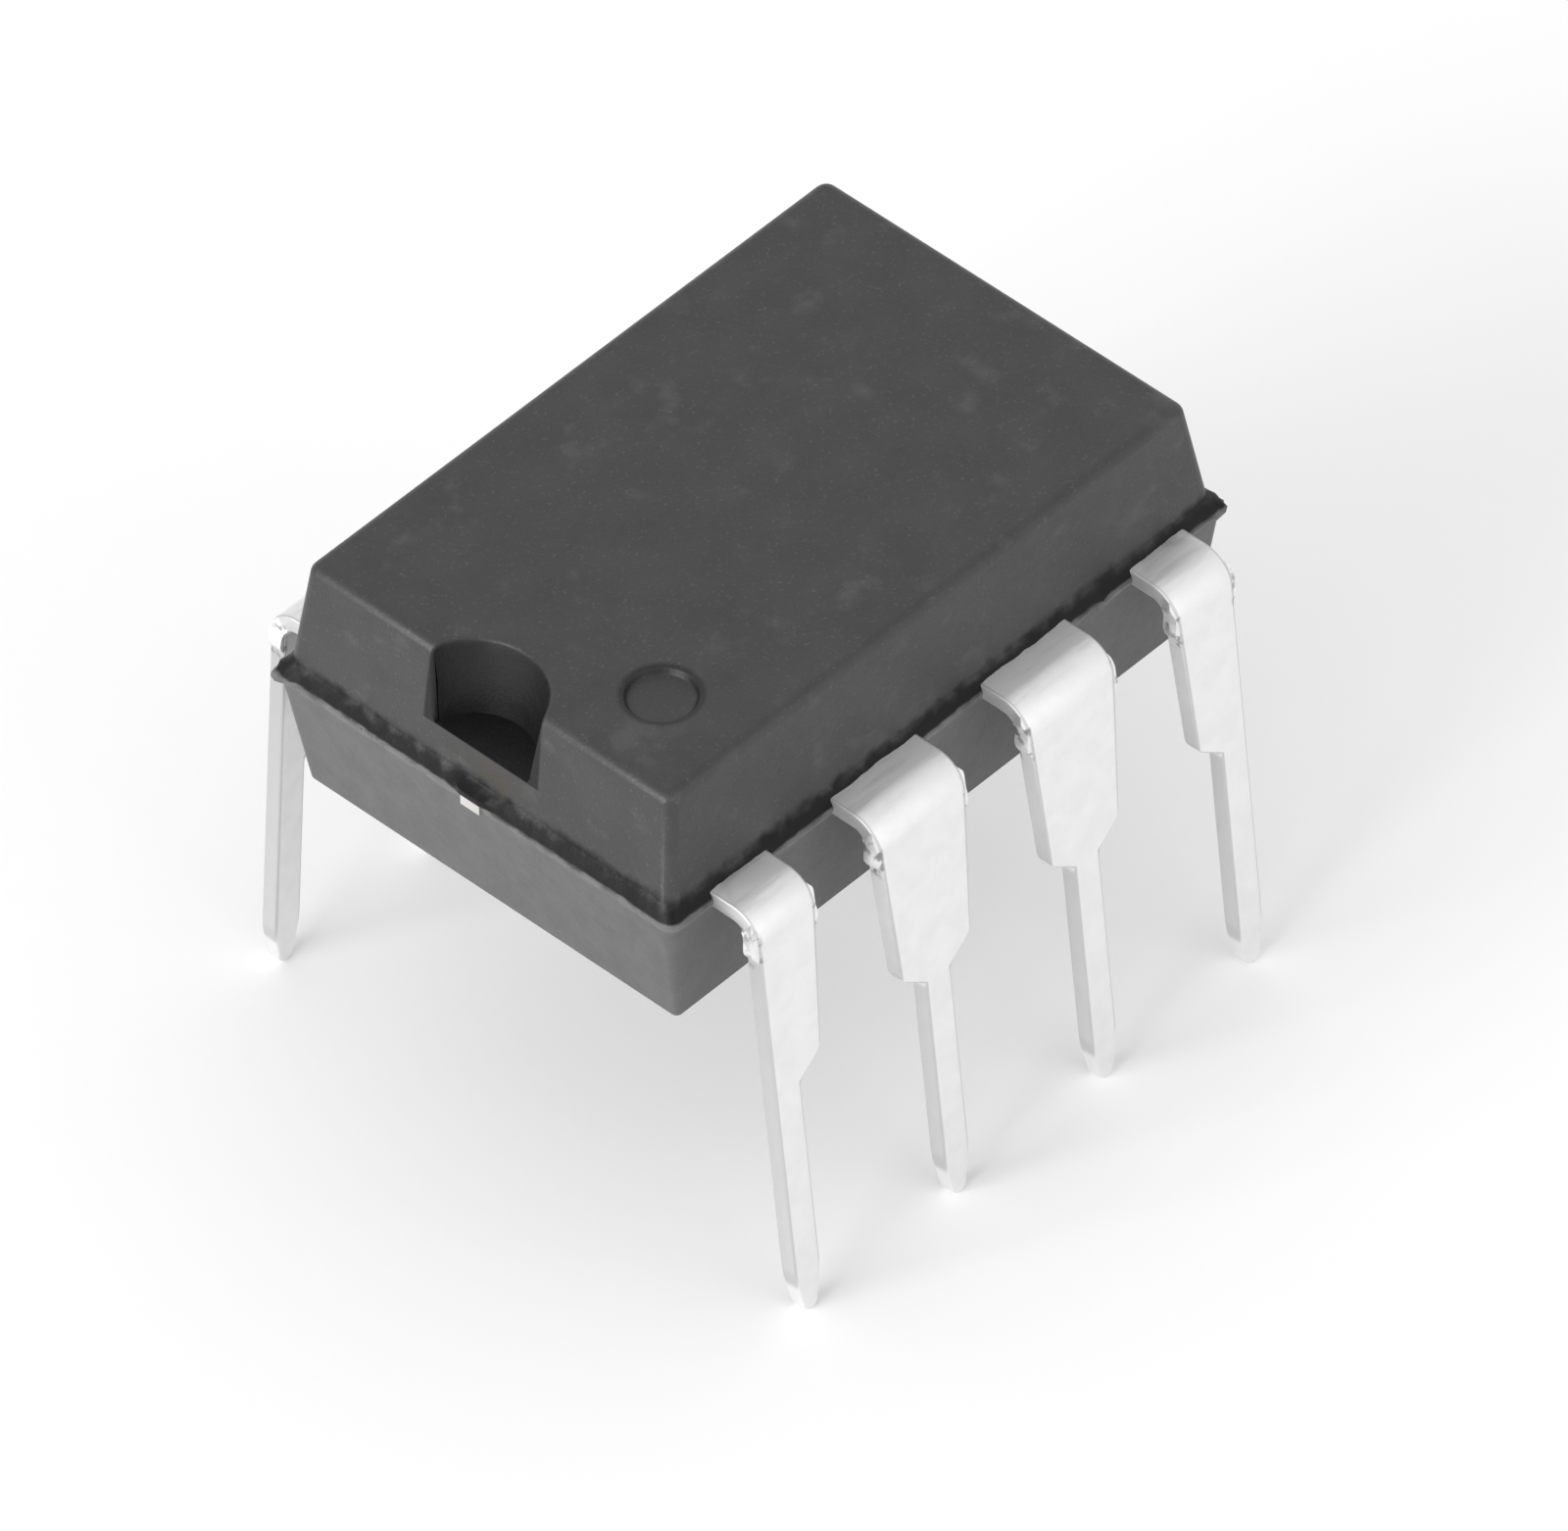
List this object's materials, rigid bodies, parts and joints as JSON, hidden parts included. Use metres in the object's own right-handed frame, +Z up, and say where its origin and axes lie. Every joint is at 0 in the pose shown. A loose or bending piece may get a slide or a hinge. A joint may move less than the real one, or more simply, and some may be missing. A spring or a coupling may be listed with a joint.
{
  "type": "dip integrated circuit chip",
  "caption": "Through-hole integrated circuit in a moulded plastic dual in-line body with an end notch, a pin 1 dimple and two rows of bent tinned leads.",
  "frame": {"origin": "under the middle of the body, on the plane of the eight lead tips", "axes": "+X along the body from its notched end to its other end, +Z up, square to the board; pins 1 to 4 are on the -Y side"},
  "size_m": [0.0094, 0.0088, 0.0078],
  "materials": {
    "epoxy": "fine matte moulded epoxy, charcoal grey",
    "tinned_lead": "satin tin plate",
    "lead_frame": "stamped nickel-iron alloy, bright where cut",
    "die_glue": "silver-filled adhesive",
    "silicon": "polished",
    "bond_gold": "drawn gold wire"
  },
  "bodies": {
    "root": {"moulded_body": "epoxy", "pin_1": "tinned_lead", "pin_2": "tinned_lead", "pin_3": "tinned_lead", "pin_4": "tinned_lead", "pin_5": "tinned_lead", "pin_6": "tinned_lead", "pin_7": "tinned_lead", "pin_8": "tinned_lead", "die_paddle": "lead_frame", "die_attach": "die_glue", "silicon_die": "silicon", "bond_wire_1": "bond_gold", "bond_wire_2": "bond_gold", "bond_wire_3": "bond_gold", "bond_wire_4": "bond_gold", "bond_wire_5": "bond_gold", "bond_wire_6": "bond_gold", "bond_wire_7": "bond_gold", "bond_wire_8": "bond_gold"}
  },
  "joints": []
}
